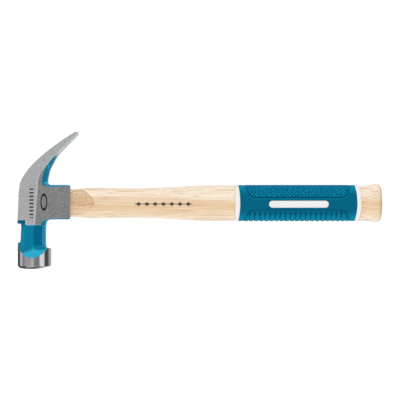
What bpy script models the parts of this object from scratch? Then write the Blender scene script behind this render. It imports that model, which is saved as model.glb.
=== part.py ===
"""Claw hammer: forged head, wedged hickory handle and two-colour moulded grip.

Units are metres, +Z up. The hammer lies on its side: +X runs along the handle from the crown of the
head to the butt, +Y points from the striking face to the claws, and the two cheeks face +Z and -Z.
Parts are drawn about a working origin on the handle's axis at the crown, and an empty carries them
so that the finished hammer stands centred on the world origin with its lowest point at Z = 0.
"""

import math

import bmesh
import bpy
from mathutils import Vector

# ---------------------------------------------------------------- driving dimensions (metres)
GAP = 0.0003                  # clearance kept between touching pieces
SECTION_POINTS = 36           # points round each lofted section
PASS = 0.0100                 # how far a bore or a pocket cutter runs past the piece it cuts

# Whole tool
TOTAL_LENGTH = 0.3357         # crown to butt
CLAW_TIP_X = 0.0561
CLAW_TIP_Y = 0.0655           # claw tips above the handle axis
FACE_Y = -0.0607              # striking face below the handle axis

# Head: cheeks
CROWN_HALF = 0.0105           # half thickness of the head at the crown
RIDGE_X = 0.0178              # ridge where the claw side plane meets the socket side plane
SOCKET_TAPER = 0.035          # loss of half thickness per metre of X beyond the ridge
CLAW_ROOT_Y = 0.0185          # the socket side plane stops at the root of the claws
SIDE_SPAN = 0.0170            # half thickness of the blank before its cheeks are cut
CLAW_BLOCK = (0.1400, 0.2000, 0.0200)      # cutters of the two side planes
SOCKET_BLOCK = (0.0800, 0.0600, 0.0200)

# Head: socket, neck and poll
SOCKET_END = 0.0483
SOCKET_TOP = 0.0165
SOCKET_BOTTOM = -0.0150
CHIN_Y = -0.0198
NECK_LEFT = 0.0030
NECK_RIGHT = 0.0264
NECK_HALF = 0.0100
NECK_CHAMFER = 0.0040
NECK_OVERLAP = 0.0060         # how far the neck runs into the cheeks and into the poll
POLL_X = 0.0154
POLL_RADIUS = 0.0154
POLL_SIDE_END = -0.0578
POLL_TOP = -0.0345            # top of the poll blank before its shoulder is cut
SHOULDER_Y = -0.0390          # middle of the sloping shoulder above the poll
SHOULDER_TILT = math.radians(10.0)
SHOULDER_BLOCK = (0.0600, 0.0200, 0.0600)
FACE_CHAMFER = 0.0025
FACE_FLAT = 0.0060            # radius of the flat disc in the middle of the domed face
FACE_CROWN = 0.0006           # height of the dome on the striking face
SCALLOP_X = 0.0141
SCALLOP_Y = -0.0368
SCALLOP_FLOOR = 0.0064        # radius of the neck scallop at the neck's flat
SCALLOP_RIM = 0.0134          # radius of the neck scallop at the poll's side
SCALLOP_DEPTH = 0.0080

# Head: eye and nail slot
EYE_Y = 0.0003
EYE_CROWN = (0.01175, 0.00825)     # half height and half depth of the eye at the crown
EYE_SOCKET = (0.01295, 0.0088)     # the same at the socket end
EYE_POWER = 4.0
SLOT_ROOT = (0.0150, 0.0270)       # root of the V slot on its centre plane
SLOT_ANGLE = math.radians(47.0)    # direction of the claws' chord from +X
SLOT_LENGTH = 0.0620
SLOT_ACROSS = 0.0600               # the slot runs right through the claws
SLOT_ROOT_HALF = 0.0012
SLOT_TIP_HALF = 0.0050

# Handle and wedges
TENON_END = 0.0017
BODY_POWER = 2.4
WOOD_WEDGE = (0.0300, 0.0215, 0.0036, 0.0010)     # length, height, thick end, thin end
STEEL_WEDGE = (0.0180, 0.0110, 0.0024, 0.0006)    # length, width, thick end, thin end
STEEL_WEDGE_Y = 0.0062
KERF_HEIGHT = 0.0400          # the saw kerf for the wood wedge runs right across the tenon

# Grip
RING_START = 0.2000
SLEEVE_END = 0.3135
OVERMOLD_START = 0.2028
OVERMOLD_END = 0.3097
START_BOW = 0.0018            # how far each edge of the grip bows towards the butt at mid height
END_BOW = 0.0025
CORE_HALF = (0.01355, 0.00945)
OVERMOLD_HALF = (0.01665, 0.01275)
OVERMOLD_ROUNDING = 0.0012    # rounded edge at the butt end of the overmold
RING_HALF = (0.01695, 0.01270)
RING_TAPER = 0.0006           # how much the rear ring narrows towards the butt
OVERMOLD_WALL = 0.0015
GRIP_POWER = 2.5
PANEL_X = 0.2585              # blank white panel showing through the overmold
PANEL_Y = -0.0011
PANEL_LENGTH = 0.0549
PANEL_HEIGHT = 0.0066
RIB_COUNT = 20
RIB_PITCH = 0.004675
RIB_START = 0.2136
RIB_GROOVE = 0.0011
RIB_DEPTH = 0.0009
RIB_TOP_Y = -0.0082
RIB_HEIGHT = 0.0120           # the grooves run off the lower edge of the grip
RIB_THROUGH = 0.0400          # the grooves run right through both faces of the grip

CLAW_SPREAD = (POLL_RADIUS - CROWN_HALF) / CLAW_TIP_X    # the claws spread to the poll's width
LIFT = POLL_RADIUS            # the lying hammer rests on its poll and claw tips


# ---------------------------------------------------------------- helpers
def clear_scene():
    for item in list(bpy.data.objects):
        bpy.data.objects.remove(item, do_unlink=True)


def new_collection(name):
    group = bpy.data.collections.new(name)
    bpy.context.scene.collection.children.link(group)
    return group


def material(name, colour, roughness, metallic=0.0):
    item = bpy.data.materials.new(name)
    item.use_nodes = True
    shader = item.node_tree.nodes["Principled BSDF"]
    shader.inputs["Base Color"].default_value = (*colour, 1.0)
    shader.inputs["Roughness"].default_value = roughness
    shader.inputs["Metallic"].default_value = metallic
    item.diffuse_color = (*colour, 1.0)
    return item


def add_object(name, mesh, group, parent):
    item = bpy.data.objects.new(name, mesh)
    group.objects.link(item)
    item.parent = parent
    return item


def hide_cutter(item):
    item.display_type = "WIRE"
    item.hide_render = True
    return item


def boolean(target, tool, operation):
    step = target.modifiers.new(f"{operation.lower()}_{tool.name}", "BOOLEAN")
    step.solver = "EXACT"
    step.operation = operation
    step.object = tool
    return step


def finish_piece(item, surface, sharp_degrees=35.0):
    item.data.materials.clear()
    item.data.materials.append(surface)
    item.data.shade_smooth()
    item.data.set_sharp_from_angle(angle=math.radians(sharp_degrees))


def outline_solid(name, points, half_thickness, group, parent):
    """Extrude a closed outline in the XY plane. Each point is (x, y, corner)."""
    curve = bpy.data.curves.new(name, "CURVE")
    curve.dimensions = "2D"
    curve.fill_mode = "BOTH"
    curve.extrude = half_thickness
    curve.resolution_u = 6
    spline = curve.splines.new("BEZIER")
    spline.bezier_points.add(len(points) - 1)
    spline.use_cyclic_u = True
    for knot, (x, y, corner) in zip(spline.bezier_points, points):
        knot.co = (x, y, 0.0)
        kind = "VECTOR" if corner else "AUTO"
        knot.handle_left_type = kind
        knot.handle_right_type = kind
    drawn = bpy.data.objects.new(name, curve)
    group.objects.link(drawn)
    depsgraph = bpy.context.evaluated_depsgraph_get()
    depsgraph.update()
    mesh = bpy.data.meshes.new_from_object(drawn.evaluated_get(depsgraph))
    bpy.data.objects.remove(drawn, do_unlink=True)
    weld_and_orient(mesh)
    return add_object(name, mesh, group, parent)


def weld_and_orient(mesh):
    work = bmesh.new()
    work.from_mesh(mesh)
    bmesh.ops.remove_doubles(work, verts=work.verts, dist=0.00002)
    bmesh.ops.recalc_face_normals(work, faces=work.faces)
    work.to_mesh(mesh)
    work.free()


def section(x, half_height, half_depth, power=BODY_POWER, bow=0.0, y=0.0):
    """One superellipse section across X. Its edge bows towards the butt by bow at mid height."""
    ring = []
    for index in range(SECTION_POINTS):
        angle = math.tau * index / SECTION_POINTS
        along_y = math.copysign(abs(math.cos(angle)) ** (2.0 / power), math.cos(angle))
        along_z = math.copysign(abs(math.sin(angle)) ** (2.0 / power), math.sin(angle))
        shift = bow * (1.0 - along_y * along_y)
        ring.append(Vector((x + shift, y + half_height * along_y, half_depth * along_z)))
    return ring


def loft(name, sections, group, parent):
    """Skin a row of equal-count sections and cap both ends."""
    work = bmesh.new()
    rows = [[work.verts.new(point) for point in ring] for ring in sections]
    for near, far in zip(rows, rows[1:]):
        for index in range(SECTION_POINTS):
            after = (index + 1) % SECTION_POINTS
            work.faces.new((near[index], near[after], far[after], far[index]))
    for row in (rows[0], rows[-1]):
        middle = work.verts.new(sum((v.co for v in row), Vector()) / SECTION_POINTS)
        for index in range(SECTION_POINTS):
            work.faces.new((row[index], row[(index + 1) % SECTION_POINTS], middle))
    bmesh.ops.recalc_face_normals(work, faces=work.faces)
    mesh = bpy.data.meshes.new(name)
    work.to_mesh(mesh)
    work.free()
    return add_object(name, mesh, group, parent)


def box(name, size, group, parent):
    work = bmesh.new()
    bmesh.ops.create_cube(work, size=1.0)
    bmesh.ops.scale(work, vec=Vector(size), verts=work.verts)
    mesh = bpy.data.meshes.new(name)
    work.to_mesh(mesh)
    work.free()
    return add_object(name, mesh, group, parent)


def tapered_block(name, start_x, end_x, start, end, centre_y, group, parent):
    """Block along X whose height and depth change from start to end."""
    item = box(name, (1.0, 1.0, 1.0), group, parent)
    for vertex in item.data.vertices:
        at_start = vertex.co.x < 0.0
        height, depth = start if at_start else end
        vertex.co.x = start_x if at_start else end_x
        vertex.co.y = centre_y + vertex.co.y * height
        vertex.co.z *= depth
    return item


def side_plane_cutter(name, side, point, slope, size, group, parent):
    """Box lying on a cheek plane that rises by slope along +X. side is +1 or -1 in Z."""
    item = hide_cutter(box(name, size, group, parent))
    angle = math.atan(slope)
    item.rotation_euler = (0.0, -side * angle, 0.0)
    normal = Vector((-math.sin(angle), 0.0, side * math.cos(angle)))
    item.location = Vector((point[0], point[1], side * point[2])) + normal * (size[2] / 2.0)
    return item


# ---------------------------------------------------------------- head
def head_outline():
    return [
        (0.0000, -0.0185, True),
        (0.0015, 0.0130, False),
        (0.0044, 0.0225, False),
        (0.0122, 0.0336, False),
        (0.0238, 0.0446, False),
        (0.0384, 0.0557, False),
        (0.0532, CLAW_TIP_Y, True),
        (CLAW_TIP_X, 0.0647, True),
        (0.0556, 0.0628, True),
        (0.0469, 0.0538, False),
        (0.0365, 0.0428, False),
        (0.0307, 0.0317, False),
        (0.0281, 0.0207, False),
        (0.0306, SOCKET_TOP, True),
        (SOCKET_END - 0.0012, SOCKET_TOP, True),
        (SOCKET_END, SOCKET_TOP - 0.0012, True),
        (SOCKET_END, SOCKET_BOTTOM + 0.0012, True),
        (SOCKET_END - 0.0012, SOCKET_BOTTOM, True),
        (0.0300, SOCKET_BOTTOM, True),
        (0.0275, SOCKET_BOTTOM - 0.0014, False),
        (NECK_RIGHT, CHIN_Y, True),
        (0.0079, CHIN_Y, True),
        (0.0050, -0.0188, True),
    ]


def neck_solid(group, parent):
    top = CHIN_Y + NECK_OVERLAP
    length = top - (SHOULDER_Y - NECK_OVERLAP)
    item = box("neck", (NECK_RIGHT - NECK_LEFT, length, 2.0 * NECK_HALF), group, parent)
    work = bmesh.new()
    work.from_mesh(item.data)
    long_edges = [e for e in work.edges if abs(e.verts[0].co.y - e.verts[1].co.y) > length / 2.0]
    bmesh.ops.bevel(work, geom=long_edges, offset=NECK_CHAMFER, segments=1, affect="EDGES")
    work.to_mesh(item.data)
    work.free()
    item.location = ((NECK_LEFT + NECK_RIGHT) / 2.0, top - length / 2.0, 0.0)
    return hide_cutter(item)


def poll_solid(group, parent):
    """Turned poll: its profile runs from the top centre, down the side, to the face centre."""
    profile = [
        (0.0, POLL_TOP),
        (POLL_RADIUS - 0.0030, POLL_TOP),
        (POLL_RADIUS, POLL_TOP - 0.0030),
        (POLL_RADIUS, POLL_SIDE_END),
        (POLL_RADIUS - FACE_CHAMFER, FACE_Y + FACE_CROWN),
        (0.0095, FACE_Y + FACE_CROWN / 3.0),
        (FACE_FLAT, FACE_Y),
        (0.0, FACE_Y),
    ]
    work = bmesh.new()
    row = [work.verts.new((radius, 0.0, height)) for radius, height in profile]
    for start, end in zip(row, row[1:]):
        work.edges.new((start, end))
    mesh = bpy.data.meshes.new("poll")
    work.to_mesh(mesh)
    work.free()
    item = hide_cutter(add_object("poll", mesh, group, parent))
    spin = item.modifiers.new("turned", "SCREW")
    spin.axis = "Z"
    spin.steps = 48
    spin.render_steps = 48
    spin.use_merge_vertices = True
    spin.merge_threshold = 0.00001
    item.rotation_euler = (math.radians(-90.0), 0.0, 0.0)
    item.location = (POLL_X, 0.0, 0.0)
    return item


def scallop_cutter(side, group, parent):
    """Cone that opens outwards from the neck's flat and leaves a U-shaped edge on the poll."""
    depth = SCALLOP_DEPTH
    spread = (SCALLOP_RIM - SCALLOP_FLOOR) / (POLL_RADIUS - NECK_HALF)
    work = bmesh.new()
    bmesh.ops.create_cone(work, cap_ends=True, segments=40, radius1=SCALLOP_FLOOR,
                          radius2=SCALLOP_FLOOR + spread * depth, depth=depth)
    mesh = bpy.data.meshes.new("scallop")
    work.to_mesh(mesh)
    work.free()
    item = hide_cutter(add_object(f"scallop_{'up' if side > 0 else 'down'}", mesh, group, parent))
    if side < 0:
        item.rotation_euler = (math.pi, 0.0, 0.0)
    item.location = (SCALLOP_X, SCALLOP_Y, side * (NECK_HALF + depth / 2.0))
    return item


def slot_cutter(group, parent):
    """V-shaped prism between the claws, widest at the tips."""
    item = hide_cutter(box("nail_slot", (1.0, 1.0, 1.0), group, parent))
    for vertex in item.data.vertices:
        at_root = vertex.co.x < 0.0
        vertex.co.x = 0.0 if at_root else SLOT_LENGTH
        vertex.co.y *= SLOT_ACROSS
        vertex.co.z *= 2.0 * (SLOT_ROOT_HALF if at_root else SLOT_TIP_HALF)
    item.rotation_euler = (0.0, 0.0, SLOT_ANGLE)
    item.location = (*SLOT_ROOT, 0.0)
    return item


def shoulder_cutter(group, parent):
    """Block that slopes the top of the poll before the neck is joined to it."""
    item = hide_cutter(box("shoulder", SHOULDER_BLOCK, group, parent))
    item.rotation_euler = (0.0, 0.0, -SHOULDER_TILT)
    up = Vector((math.sin(SHOULDER_TILT), math.cos(SHOULDER_TILT), 0.0))
    item.location = Vector((POLL_X, SHOULDER_Y, 0.0)) + up * (SHOULDER_BLOCK[1] / 2.0)
    return item


def make_head(parts, cutters, parent, surface):
    head = outline_solid("head", head_outline(), SIDE_SPAN, parts, parent)
    ridge_half = CROWN_HALF + CLAW_SPREAD * RIDGE_X
    socket_y = CLAW_ROOT_Y - SOCKET_BLOCK[1] / 2.0
    for side, word in ((1, "up"), (-1, "down")):
        claw_side = side_plane_cutter(f"claw_side_{word}", side, (0.0, 0.0, CROWN_HALF),
                                      CLAW_SPREAD, CLAW_BLOCK, cutters, parent)
        socket_side = side_plane_cutter(f"socket_side_{word}", side, (RIDGE_X, socket_y, ridge_half),
                                        -SOCKET_TAPER, SOCKET_BLOCK, cutters, parent)
        boolean(head, claw_side, "DIFFERENCE")
        boolean(head, socket_side, "DIFFERENCE")
    poll = poll_solid(cutters, parent)
    boolean(poll, shoulder_cutter(cutters, parent), "DIFFERENCE")
    for side in (1, -1):
        boolean(poll, scallop_cutter(side, cutters, parent), "DIFFERENCE")
    boolean(head, neck_solid(cutters, parent), "UNION")
    boolean(head, poll, "UNION")
    eye = [
        section(-PASS, *EYE_CROWN, power=EYE_POWER, y=EYE_Y),
        section(0.012, *EYE_CROWN, power=EYE_POWER, y=EYE_Y),
        section(SOCKET_END, *EYE_SOCKET, power=EYE_POWER, y=EYE_Y),
        section(SOCKET_END + PASS, *EYE_SOCKET, power=EYE_POWER, y=EYE_Y),
    ]
    boolean(head, hide_cutter(loft("eye", eye, cutters, parent)), "DIFFERENCE")
    boolean(head, slot_cutter(cutters, parent), "DIFFERENCE")
    finish_piece(head, surface)
    return head


# ---------------------------------------------------------------- handle and wedges
def handle_sections():
    """Tenon, waist, swell, rebated core for the grip, and flared butt, from crown to butt."""
    crown = [value - GAP for value in EYE_CROWN]
    socket = [value - GAP for value in EYE_SOCKET]
    front_shoulder = RING_START - GAP
    butt_shoulder = SLEEVE_END + GAP
    return [
        section(TENON_END, *crown, power=EYE_POWER, y=EYE_Y),
        section(0.0120, *crown, power=EYE_POWER, y=EYE_Y),
        section(SOCKET_END, *socket, power=EYE_POWER, y=EYE_Y),
        section(0.0560, 0.0127, 0.0088, power=3.2),
        section(0.0615, 0.0137, 0.0093, power=2.7),
        section(0.0683, 0.0140, 0.0096),
        section(0.0850, 0.0137, 0.0094),
        section(0.1015, 0.0134, 0.0093),
        section(0.1250, 0.0138, 0.0097),
        section(0.1470, 0.0149, 0.0107),
        section(0.1620, 0.0160, 0.0117),
        section(0.1800, 0.0164, 0.0121),
        section(front_shoulder, 0.0163, 0.0122),
        section(front_shoulder, *CORE_HALF),
        section(butt_shoulder, *CORE_HALF, bow=END_BOW),
        section(butt_shoulder, 0.0158, 0.0121, bow=END_BOW),
        section(0.3204, 0.0162, 0.0124, bow=0.0008),
        section(0.3255, 0.0170, 0.0130),
        section(0.3290, 0.0174, 0.0134),
        section(0.3305, 0.0171, 0.0131),
        section(0.3330, 0.0146, 0.0108),
        section(0.3345, 0.0112, 0.0080),
        section(TOTAL_LENGTH, 0.0060, 0.0045),
    ]


def steel_wedge(name, centre_y, grow, group, parent):
    """One steel cross wedge, or with grow its pocket, which is open at the crown."""
    length, width, thick, thin = STEEL_WEDGE
    lead = PASS if grow else 0.0
    mouth = thick + (thick - thin) * lead / length
    return tapered_block(name, TENON_END - lead, TENON_END + length + grow,
                         (mouth + 2.0 * grow, width + 2.0 * grow),
                         (thin + 2.0 * grow, width + 2.0 * grow), centre_y, group, parent)


def make_handle_and_wedges(parts, cutters, parent, wood, wedge_wood, wedge_steel):
    handle = loft("handle", handle_sections(), parts, parent)
    length, height, thick, thin = WOOD_WEDGE
    wedge = tapered_block("wood_wedge", TENON_END, TENON_END + length, (height, thick),
                          (height, thin), EYE_Y, parts, parent)
    mouth = thick + (thick - thin) * PASS / length
    kerf = tapered_block("kerf", TENON_END - PASS, TENON_END + length + GAP,
                         (KERF_HEIGHT, mouth + 2.0 * GAP), (KERF_HEIGHT, thin + 2.0 * GAP), EYE_Y,
                         cutters, parent)
    boolean(handle, hide_cutter(kerf), "DIFFERENCE")
    for word, side in (("front", 1.0), ("rear", -1.0)):
        centre = EYE_Y + side * STEEL_WEDGE_Y
        steel = steel_wedge(f"steel_wedge_{word}", centre, 0.0, parts, parent)
        pocket = hide_cutter(steel_wedge(f"pocket_{word}", centre, GAP, cutters, parent))
        boolean(handle, pocket, "DIFFERENCE")
        boolean(wedge, pocket, "DIFFERENCE")
        finish_piece(steel, wedge_steel)
    finish_piece(wedge, wedge_wood)
    finish_piece(handle, wood)


# ---------------------------------------------------------------- grip
def grown(pair, amount):
    return [value + amount for value in pair]


def capsule_solid(name, grow, top, group, parent):
    """Rounded bar across both faces of the grip. grow widens it all round."""
    radius = PANEL_HEIGHT / 2.0 + grow
    straight = (PANEL_LENGTH - PANEL_HEIGHT) / 2.0
    points = []
    for centre, start in ((straight, -90.0), (-straight, 90.0)):
        for step in range(9):
            angle = math.radians(start + 180.0 * step / 8.0)
            points.append((PANEL_X + centre + radius * math.cos(angle),
                           PANEL_Y + radius * math.sin(angle), True))
    return hide_cutter(outline_solid(name, points, top, group, parent))


def make_sleeve(parts, cutters, parent, surface):
    barrel = grown(OVERMOLD_HALF, -OVERMOLD_WALL - GAP)
    sleeve = loft("grip_sleeve", [
        section(RING_START, *RING_HALF, power=GRIP_POWER),
        section(OVERMOLD_START - GAP, *RING_HALF, power=GRIP_POWER, bow=START_BOW),
        section(OVERMOLD_START - GAP, *barrel, power=GRIP_POWER, bow=START_BOW),
        section(OVERMOLD_END + GAP, *barrel, power=GRIP_POWER, bow=END_BOW),
        section(OVERMOLD_END + GAP, *RING_HALF, power=GRIP_POWER, bow=END_BOW),
        section(SLEEVE_END, *grown(RING_HALF, -RING_TAPER), power=GRIP_POWER, bow=END_BOW),
    ], parts, parent)
    panel = capsule_solid("panel", 0.0, OVERMOLD_HALF[1] - 0.0001, cutters, parent)
    boolean(sleeve, panel, "UNION")
    bore = grown(CORE_HALF, GAP)
    hollow = loft("sleeve_bore", [
        section(RING_START - PASS, *bore),
        section(SLEEVE_END + PASS, *bore),
    ], cutters, parent)
    boolean(sleeve, hide_cutter(hollow), "DIFFERENCE")
    finish_piece(sleeve, surface)


def rib_cutter(cutters, parent):
    """Row of slabs that reach RIB_DEPTH into the lower half of the overmold."""
    slab = box("rib_grooves", (RIB_GROOVE, RIB_HEIGHT, RIB_THROUGH), cutters, parent)
    slab.location = (RIB_START, RIB_TOP_Y - RIB_HEIGHT / 2.0, 0.0)
    row = slab.modifiers.new("row", "ARRAY")
    row.count = RIB_COUNT
    row.use_relative_offset = False
    row.use_constant_offset = True
    row.constant_offset_displace = (RIB_PITCH, 0.0, 0.0)
    floor = grown(OVERMOLD_HALF, -RIB_DEPTH)
    keep = loft("rib_floor", [
        section(OVERMOLD_START - PASS, *floor, power=GRIP_POWER),
        section(OVERMOLD_END + PASS, *floor, power=GRIP_POWER),
    ], cutters, parent)
    boolean(slab, hide_cutter(keep), "DIFFERENCE")
    return hide_cutter(slab)


def make_overmold(parts, cutters, parent, surface):
    overmold = loft("grip_overmold", [
        section(OVERMOLD_START, *OVERMOLD_HALF, power=GRIP_POWER, bow=START_BOW),
        section(OVERMOLD_END - OVERMOLD_ROUNDING, *OVERMOLD_HALF, power=GRIP_POWER, bow=END_BOW),
        section(OVERMOLD_END, *grown(OVERMOLD_HALF, -OVERMOLD_ROUNDING / 2.0), power=GRIP_POWER,
                bow=END_BOW),
    ], parts, parent)
    bore = grown(OVERMOLD_HALF, -OVERMOLD_WALL)
    hollow = loft("overmold_bore", [
        section(OVERMOLD_START - PASS, *bore, power=GRIP_POWER),
        section(OVERMOLD_END + PASS, *bore, power=GRIP_POWER),
    ], cutters, parent)
    boolean(overmold, hide_cutter(hollow), "DIFFERENCE")
    window = capsule_solid("panel_window", GAP, 0.030, cutters, parent)
    boolean(overmold, window, "DIFFERENCE")
    boolean(overmold, rib_cutter(cutters, parent), "DIFFERENCE")
    finish_piece(overmold, surface)


# ---------------------------------------------------------------- assembly
def main():
    clear_scene()
    parts = new_collection("claw_hammer")
    cutters = new_collection("claw_hammer_cutters")
    carrier = bpy.data.objects.new("hammer_frame", None)
    parts.objects.link(carrier)
    carrier.location = (-TOTAL_LENGTH / 2.0, -(CLAW_TIP_Y + FACE_Y) / 2.0, LIFT)
    steel = material("forged_steel", (0.42, 0.43, 0.44), 0.35, 1.0)
    wood = material("hickory", (0.78, 0.60, 0.39), 0.55)
    wedge_wood = material("wedge_wood", (0.62, 0.43, 0.24), 0.65)
    wedge_steel = material("wedge_steel", (0.30, 0.30, 0.31), 0.5, 1.0)
    white = material("sleeve_plastic", (0.86, 0.87, 0.87), 0.45)
    teal = material("overmold_rubber", (0.0, 0.19, 0.31), 0.6)
    make_head(parts, cutters, carrier, steel)
    make_handle_and_wedges(parts, cutters, carrier, wood, wedge_wood, wedge_steel)
    make_sleeve(parts, cutters, carrier, white)
    make_overmold(parts, cutters, carrier, teal)


main()
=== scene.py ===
"""Looks of the claw hammer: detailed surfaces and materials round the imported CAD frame.

Shapes are drawn in millimetres about the working origin of the design, on the handle's axis at the
crown of the head: +X runs to the butt, +Y to the claws, +Z up. place() carries them into the frame.
"""

import math

import bmesh
import bpy
import numpy as np
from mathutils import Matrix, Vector


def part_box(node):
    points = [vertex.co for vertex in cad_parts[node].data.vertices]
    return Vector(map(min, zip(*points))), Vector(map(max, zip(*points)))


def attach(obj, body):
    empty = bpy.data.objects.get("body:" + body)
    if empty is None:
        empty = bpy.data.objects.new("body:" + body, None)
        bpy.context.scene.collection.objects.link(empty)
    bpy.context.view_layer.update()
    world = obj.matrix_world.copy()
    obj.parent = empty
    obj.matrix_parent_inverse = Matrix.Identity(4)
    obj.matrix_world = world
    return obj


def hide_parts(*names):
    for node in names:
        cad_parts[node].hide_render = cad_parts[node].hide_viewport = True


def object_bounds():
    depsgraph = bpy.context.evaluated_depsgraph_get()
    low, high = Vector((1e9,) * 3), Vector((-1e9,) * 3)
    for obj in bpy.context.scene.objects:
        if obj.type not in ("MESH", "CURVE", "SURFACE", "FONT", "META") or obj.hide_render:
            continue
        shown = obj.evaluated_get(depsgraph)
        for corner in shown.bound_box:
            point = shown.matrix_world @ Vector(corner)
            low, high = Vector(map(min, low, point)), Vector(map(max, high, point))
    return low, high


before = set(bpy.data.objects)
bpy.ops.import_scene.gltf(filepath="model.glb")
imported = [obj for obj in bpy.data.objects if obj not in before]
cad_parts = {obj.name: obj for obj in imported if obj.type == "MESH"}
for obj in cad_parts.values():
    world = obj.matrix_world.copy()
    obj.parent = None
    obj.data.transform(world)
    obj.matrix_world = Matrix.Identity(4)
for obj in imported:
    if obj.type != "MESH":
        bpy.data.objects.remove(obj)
cad_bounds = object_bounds()

MM = 0.001
head_low, head_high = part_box("head")
grip_low, grip_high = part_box("grip_overmold")
ORIGIN = np.array([head_low.x, (grip_low.y + grip_high.y) / 2.0, (head_low.z + head_high.z) / 2.0])


def place(points):
    """Millimetres about the working origin to metres in the frame."""
    return np.asarray(points, float) * MM + ORIGIN


# ---------------------------------------------------------------- curves and fields
def spline(knots):
    """Smooth function through (position, value) knots, straight beyond the ends."""
    at, value = (np.array(column, float) for column in zip(*knots))
    slope = np.gradient(value, at)

    def evaluate(where):
        where = np.asarray(where, float)
        index = np.clip(np.searchsorted(at, where) - 1, 0, len(at) - 2)
        width = at[index + 1] - at[index]
        t = np.clip((where - at[index]) / width, 0.0, 1.0)
        rise, fall = slope[index] * width, slope[index + 1] * width
        curve = (
            value[index] * (1 + 2 * t) * (1 - t) ** 2 + rise * t * (1 - t) ** 2
            + value[index + 1] * t * t * (3 - 2 * t) - fall * t * t * (1 - t)
        )
        before = (where - at[0]) * slope[0] * (where < at[0])
        after = (where - at[-1]) * slope[-1] * (where > at[-1])
        return curve + before + after

    return evaluate


def smooth_max(a, b, blend):
    """The larger of two fields, with their crease rounded over the blend."""
    overlap = np.clip(blend - np.abs(a - b), 0.0, None)
    return np.maximum(a, b) + overlap * overlap / (4.0 * blend)


def smooth_min(a, b, blend):
    return -smooth_max(-a, -b, blend)


def ramp(value, start, end):
    """0 before start, 1 after end, smooth between."""
    t = np.clip((value - start) / (end - start), 0.0, 1.0)
    return t * t * (3.0 - 2.0 * t)


def bell(offset, width):
    """1 at no offset, falling off over the width."""
    return np.exp(-((offset / width) ** 2))


def run_of(points):
    """Distance travelled along a polyline at each of its points."""
    return np.concatenate([[0.0], np.cumsum(np.linalg.norm(np.diff(points, axis=0), axis=1))])


def resample(points, run, want):
    """Points of a planar polyline at the wanted distances along it."""
    return np.stack([np.interp(want, run, points[:, axis]) for axis in (0, 1)], axis=1)


def rounded_outline(corners, steps=8):
    """Closed outline through (x, y, radius) corners, each rounded by an arc."""
    outline = []
    for index, (x, y, radius) in enumerate(corners):
        here = np.array([x, y])
        if radius <= 0.0:
            outline.append(here)
            continue
        back = np.array(corners[index - 1][:2]) - here
        ahead = np.array(corners[(index + 1) % len(corners)][:2]) - here
        back /= np.linalg.norm(back)
        ahead /= np.linalg.norm(ahead)
        half = math.acos(np.clip(back @ ahead, -1.0, 1.0)) / 2.0
        reach = radius / math.tan(half)
        centre = here + (back + ahead) / np.linalg.norm(back + ahead) * (radius / math.sin(half))
        first = here + back * reach - centre
        last = here + ahead * reach - centre
        turn = math.atan2(first[0] * last[1] - first[1] * last[0], first @ last)
        for step in range(steps + 1):
            angle = turn * step / steps
            spin = np.array([[math.cos(angle), -math.sin(angle)], [math.sin(angle), math.cos(angle)]])
            outline.append(centre + spin @ first)
    return np.array(outline)


def signed_column(x, ys, start, end):
    """Signed distances from the points (x, ys) to the outline with the given starts and ends of edges."""
    edge = end - start
    offset = np.stack([np.full(len(ys), x), ys], axis=-1)[:, None, :] - start
    t = np.clip((offset * edge).sum(axis=2) / (edge * edge).sum(axis=1), 0.0, 1.0)
    gap = offset - t[:, :, None] * edge
    distance = np.sqrt((gap * gap).sum(axis=2).min(axis=1))
    above = ys[:, None] < np.maximum(start[:, 1], end[:, 1])
    below = ys[:, None] >= np.minimum(start[:, 1], end[:, 1])
    level = np.where(edge[:, 1] == 0.0, 1.0, edge[:, 1])
    cross = start[:, 0] + (ys[:, None] - start[:, 1]) * edge[:, 0] / level
    inside = ((above & below & (cross > x)).sum(axis=1) % 2) == 1
    return np.where(inside, -distance, distance)


def outline_field(outline, low, high, pitch=0.12):
    """Signed distance to a closed outline, negative inside, read from a fine lattice."""
    xs = np.arange(low[0], high[0] + pitch, pitch)
    ys = np.arange(low[1], high[1] + pitch, pitch)
    start = np.asarray(outline)
    end = np.roll(start, -1, axis=0)
    table = np.array([signed_column(x, ys, start, end) for x in xs])
    last_cell = 1.001

    def evaluate(x, y):
        u = np.clip((x - low[0]) / pitch, 0, len(xs) - last_cell)
        v = np.clip((y - low[1]) / pitch, 0, len(ys) - last_cell)
        i, j = u.astype(int), v.astype(int)
        u, v = u - i, v - j
        return (
            table[i, j] * (1 - u) * (1 - v) + table[i + 1, j] * u * (1 - v)
            + table[i, j + 1] * (1 - u) * v + table[i + 1, j + 1] * u * v
        )

    return evaluate


def gradient(field, points, step=0.02):
    """Unit gradient of the field by central differences."""
    slope = np.empty_like(points)
    for axis in range(3):
        shift = np.zeros(3)
        shift[axis] = step
        slope[:, axis] = field(points + shift) - field(points - shift)
    return slope / np.maximum(np.linalg.norm(slope, axis=1), 1e-12)[:, None]


# ---------------------------------------------------------------- contouring
def find_crossing(field, base, stride, from_value, to_value, rounds=4):
    """Points where the field is 0 on lattice edges, by false position."""
    from_t, to_t = np.zeros(len(base)), np.ones(len(base))
    for _ in range(rounds):
        t = from_t + (to_t - from_t) * from_value / (from_value - to_value)
        middle = field(base + t[:, None] * stride)
        same = (middle < 0.0) == (from_value < 0.0)
        from_t, from_value = np.where(same, t, from_t), np.where(same, middle, from_value)
        to_t, to_value = np.where(same, to_t, t), np.where(same, to_value, middle)
        to_value = np.where(from_value == to_value, to_value + 1e-12, to_value)
    return base + t[:, None] * stride


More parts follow.
